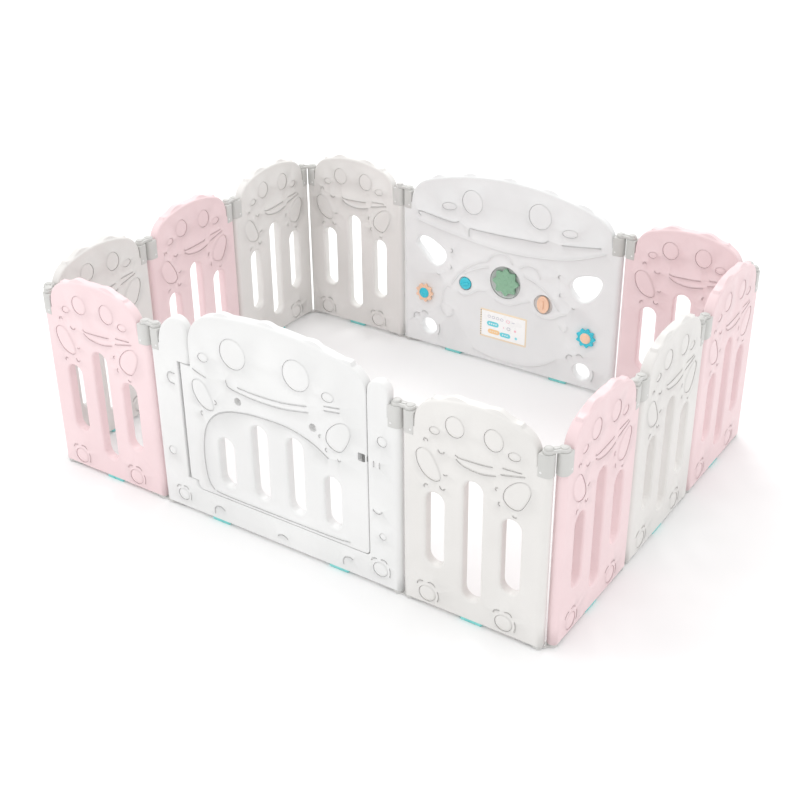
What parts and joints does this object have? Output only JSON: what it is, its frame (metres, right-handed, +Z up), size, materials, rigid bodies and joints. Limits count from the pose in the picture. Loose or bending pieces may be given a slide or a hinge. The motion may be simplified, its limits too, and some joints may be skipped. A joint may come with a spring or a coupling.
{
  "type": "playpen",
  "caption": "Folding ring playpen of moulded plastic panels joined by pinned hinge links, with a swinging gate and an activity board with turning toys.",
  "frame": {"origin": "middle of the pen's footprint, on the floor under its non-slip pads", "axes": "+X along the long walls, +Y from the gate wall to the activity board wall, +Z up"},
  "size_m": [1.609, 1.219, 0.6439],
  "materials": {
    "white_plastic": "satin moulded polyethylene",
    "pink_plastic": "satin moulded polyethylene",
    "grey_plastic": "fine satin",
    "teal_rubber": "matt",
    "pin_steel": "bright",
    "cyan_plastic": "gloss",
    "peach_plastic": "gloss",
    "green_plastic": "satin",
    "card_print": "printed plastic sheet"
  },
  "bodies": {
    "gate": {"gate_frame": "white_plastic", "brackets_gate": "grey_plastic", "pads_gate": "teal_rubber", "door_pins": "pin_steel"},
    "door": {"gate_door": "white_plastic"},
    "latch": {"door_latch": "grey_plastic"},
    "front_left": {"panel_front_left": "pink_plastic", "brackets_front_left": "grey_plastic", "pads_front_left": "teal_rubber"},
    "front_right": {"panel_front_right": "white_plastic", "brackets_front_right": "grey_plastic", "pads_front_right": "teal_rubber"},
    "right_front": {"panel_right_front": "pink_plastic", "brackets_right_front": "grey_plastic", "pads_right_front": "teal_rubber"},
    "right_middle": {"panel_right_middle": "white_plastic", "brackets_right_middle": "grey_plastic", "pads_right_middle": "teal_rubber"},
    "right_back": {"panel_right_back": "pink_plastic", "brackets_right_back": "grey_plastic", "pads_right_back": "teal_rubber"},
    "back_right": {"panel_back_right": "pink_plastic", "brackets_back_right": "grey_plastic", "pads_back_right": "teal_rubber"},
    "back_left": {"panel_back_left": "white_plastic", "brackets_back_left": "grey_plastic", "pads_back_left": "teal_rubber"},
    "left_back": {"panel_left_back": "white_plastic", "brackets_left_back": "grey_plastic", "pads_left_back": "teal_rubber"},
    "left_middle": {"panel_left_middle": "pink_plastic", "brackets_left_middle": "grey_plastic", "pads_left_middle": "teal_rubber"},
    "left_front": {"panel_left_front": "white_plastic", "brackets_left_front": "grey_plastic", "pads_left_front": "teal_rubber"},
    "board": {"activity_board": "white_plastic", "brackets_board": "grey_plastic", "pads_board": "teal_rubber", "picture_card": "card_print"},
    "link_gate_left": {"link_gate_left": "grey_plastic"},
    "link_front_left_corner": {"link_front_left_corner": "grey_plastic"},
    "link_left_front": {"link_left_front": "grey_plastic"},
    "link_left_back": {"link_left_back": "grey_plastic"},
    "link_back_left_corner": {"link_back_left_corner": "grey_plastic"},
    "link_board_left": {"link_board_left": "grey_plastic"},
    "link_gate_right": {"link_gate_right": "grey_plastic"},
    "link_front_right_corner": {"link_front_right_corner": "grey_plastic"},
    "link_right_front": {"link_right_front": "grey_plastic"},
    "link_right_back": {"link_right_back": "grey_plastic"},
    "link_back_right_corner": {"link_back_right_corner": "grey_plastic"},
    "link_board_right": {"link_board_right": "grey_plastic"},
    "green_gear": {"green_gear": "green_plastic"},
    "round_knob": {"round_knob": "cyan_plastic"},
    "oval_knob": {"oval_knob": "peach_plastic"},
    "flower_left": {"flower_gear_left": "peach_plastic", "flower_cap_left": "cyan_plastic"},
    "flower_right": {"flower_gear_right": "cyan_plastic", "flower_cap_right": "peach_plastic"}
  },
  "joints": [
    {"name": "left_fold", "type": "hinge", "parent": "gate", "child": "link_gate_left", "pos_m": [-0.372, -0.59246, 0.3], "axis": [0, 0, 1], "range_deg": [0, 90]},
    {"name": "front_left_turn", "type": "hinge", "parent": "link_gate_left", "child": "front_left", "pos_m": [-0.408, -0.59246, 0.3], "axis": [0, 0, 1], "range_deg": [0, 90]},
    {"name": "front_left_corner_link_turn", "type": "hinge", "parent": "front_left", "child": "link_front_left_corner", "pos_m": [-0.762, -0.59246, 0.3], "axis": [0, 0, 1], "range_deg": [-45, 0]},
    {"name": "left_front_turn", "type": "hinge", "parent": "link_front_left_corner", "child": "left_front", "pos_m": [-0.78746, -0.567, 0.3], "axis": [0, 0, 1], "range_deg": [-45, 0]},
    {"name": "left_front_link_turn", "type": "hinge", "parent": "left_front", "child": "link_left_front", "pos_m": [-0.78746, -0.213, 0.3], "axis": [0, 0, 1], "range_deg": [0, 90]},
    {"name": "left_middle_turn", "type": "hinge", "parent": "link_left_front", "child": "left_middle", "pos_m": [-0.78746, -0.177, 0.3], "axis": [0, 0, 1], "range_deg": [0, 90]},
    {"name": "left_back_link_turn", "type": "hinge", "parent": "left_middle", "child": "link_left_back", "pos_m": [-0.78746, 0.177, 0.3], "axis": [0, 0, 1], "range_deg": [-90, 0]},
    {"name": "left_back_turn", "type": "hinge", "parent": "link_left_back", "child": "left_back", "pos_m": [-0.78746, 0.213, 0.3], "axis": [0, 0, 1], "range_deg": [-90, 0]},
    {"name": "back_left_corner_link_turn", "type": "hinge", "parent": "left_back", "child": "link_back_left_corner", "pos_m": [-0.78746, 0.567, 0.3], "axis": [0, 0, 1], "range_deg": [0, 135]},
    {"name": "back_left_turn", "type": "hinge", "parent": "link_back_left_corner", "child": "back_left", "pos_m": [-0.762, 0.59246, 0.3], "axis": [0, 0, 1], "range_deg": [0, 135]},
    {"name": "board_left_link_turn", "type": "hinge", "parent": "back_left", "child": "link_board_left", "pos_m": [-0.408, 0.59246, 0.3], "axis": [0, 0, 1], "range_deg": [-112.5, 0]},
    {"name": "right_fold", "type": "hinge", "parent": "gate", "child": "link_gate_right", "pos_m": [0.372, -0.59246, 0.3], "axis": [0, 0, -1], "range_deg": [0, 90]},
    {"name": "front_right_turn", "type": "hinge", "parent": "link_gate_right", "child": "front_right", "pos_m": [0.408, -0.59246, 0.3], "axis": [0, 0, -1], "range_deg": [0, 90]},
    {"name": "front_right_corner_link_turn", "type": "hinge", "parent": "front_right", "child": "link_front_right_corner", "pos_m": [0.762, -0.59246, 0.3], "axis": [0, 0, -1], "range_deg": [-45, 0]},
    {"name": "right_front_turn", "type": "hinge", "parent": "link_front_right_corner", "child": "right_front", "pos_m": [0.78746, -0.567, 0.3], "axis": [0, 0, -1], "range_deg": [-45, 0]},
    {"name": "right_front_link_turn", "type": "hinge", "parent": "right_front", "child": "link_right_front", "pos_m": [0.78746, -0.213, 0.3], "axis": [0, 0, -1], "range_deg": [0, 90]},
    {"name": "right_middle_turn", "type": "hinge", "parent": "link_right_front", "child": "right_middle", "pos_m": [0.78746, -0.177, 0.3], "axis": [0, 0, -1], "range_deg": [0, 90]},
    {"name": "right_back_link_turn", "type": "hinge", "parent": "right_middle", "child": "link_right_back", "pos_m": [0.78746, 0.177, 0.3], "axis": [0, 0, -1], "range_deg": [-90, 0]},
    {"name": "right_back_turn", "type": "hinge", "parent": "link_right_back", "child": "right_back", "pos_m": [0.78746, 0.213, 0.3], "axis": [0, 0, -1], "range_deg": [-90, 0]},
    {"name": "back_right_corner_link_turn", "type": "hinge", "parent": "right_back", "child": "link_back_right_corner", "pos_m": [0.78746, 0.567, 0.3], "axis": [0, 0, -1], "range_deg": [0, 135]},
    {"name": "back_right_turn", "type": "hinge", "parent": "link_back_right_corner", "child": "back_right", "pos_m": [0.762, 0.59246, 0.3], "axis": [0, 0, -1], "range_deg": [0, 135]},
    {"name": "board_right_link_turn", "type": "hinge", "parent": "back_right", "child": "link_board_right", "pos_m": [0.408, 0.59246, 0.3], "axis": [0, 0, -1], "range_deg": [-75, 0]},
    {"name": "board_turn", "type": "hinge", "parent": "link_board_right", "child": "board", "pos_m": [0.372, 0.59246, 0.3], "axis": [0, 0, -1], "range_deg": [-75, 0]},
    {"name": "door_swing", "type": "hinge", "parent": "gate", "child": "door", "pos_m": [-0.279, -0.59246, 0.3], "axis": [0, 0, 1], "range_deg": [-90, 90]},
    {"name": "latch_slide", "type": "slide", "parent": "door", "child": "latch", "axis": [-1, 0, 0], "range_m": [0, 0.01]},
    {"name": "green_gear_spin", "type": "hinge", "parent": "board", "child": "green_gear", "pos_m": [-0.002, 0.57746, 0.3], "axis": [0, -1, 0], "continuous": true},
    {"name": "round_knob_spin", "type": "hinge", "parent": "board", "child": "round_knob", "pos_m": [-0.148, 0.57746, 0.263], "axis": [0, -1, 0], "continuous": true},
    {"name": "oval_knob_spin", "type": "hinge", "parent": "board", "child": "oval_knob", "pos_m": [0.135, 0.57746, 0.259], "axis": [0, -1, 0], "continuous": true},
    {"name": "flower_left_spin", "type": "hinge", "parent": "board", "child": "flower_left", "pos_m": [-0.301, 0.57746, 0.195], "axis": [0, -1, 0], "continuous": true},
    {"name": "flower_right_spin", "type": "hinge", "parent": "board", "child": "flower_right", "pos_m": [0.29, 0.57746, 0.186], "axis": [0, -1, 0], "continuous": true}
  ],
  "couplings": [
    {"joint": "front_left_turn", "follows": "left_fold", "ratio": 1},
    {"joint": "front_left_corner_link_turn", "follows": "left_fold", "ratio": -0.5},
    {"joint": "left_front_turn", "follows": "left_fold", "ratio": -0.5},
    {"joint": "left_front_link_turn", "follows": "left_fold", "ratio": 1},
    {"joint": "left_middle_turn", "follows": "left_fold", "ratio": 1},
    {"joint": "left_back_link_turn", "follows": "left_fold", "ratio": -1},
    {"joint": "left_back_turn", "follows": "left_fold", "ratio": -1},
    {"joint": "back_left_corner_link_turn", "follows": "left_fold", "ratio": 1.5},
    {"joint": "back_left_turn", "follows": "left_fold", "ratio": 1.5},
    {"joint": "board_left_link_turn", "follows": "left_fold", "ratio": -1.25},
    {"joint": "front_right_turn", "follows": "right_fold", "ratio": 1},
    {"joint": "front_right_corner_link_turn", "follows": "right_fold", "ratio": -0.5},
    {"joint": "right_front_turn", "follows": "right_fold", "ratio": -0.5},
    {"joint": "right_front_link_turn", "follows": "right_fold", "ratio": 1},
    {"joint": "right_middle_turn", "follows": "right_fold", "ratio": 1},
    {"joint": "right_back_link_turn", "follows": "right_fold", "ratio": -1},
    {"joint": "right_back_turn", "follows": "right_fold", "ratio": -1},
    {"joint": "back_right_corner_link_turn", "follows": "right_fold", "ratio": 1.5},
    {"joint": "back_right_turn", "follows": "right_fold", "ratio": 1.5},
    {"joint": "board_right_link_turn", "follows": "right_fold", "ratio": -0.83333},
    {"joint": "board_turn", "follows": "right_fold", "ratio": -0.83333}
  ]
}
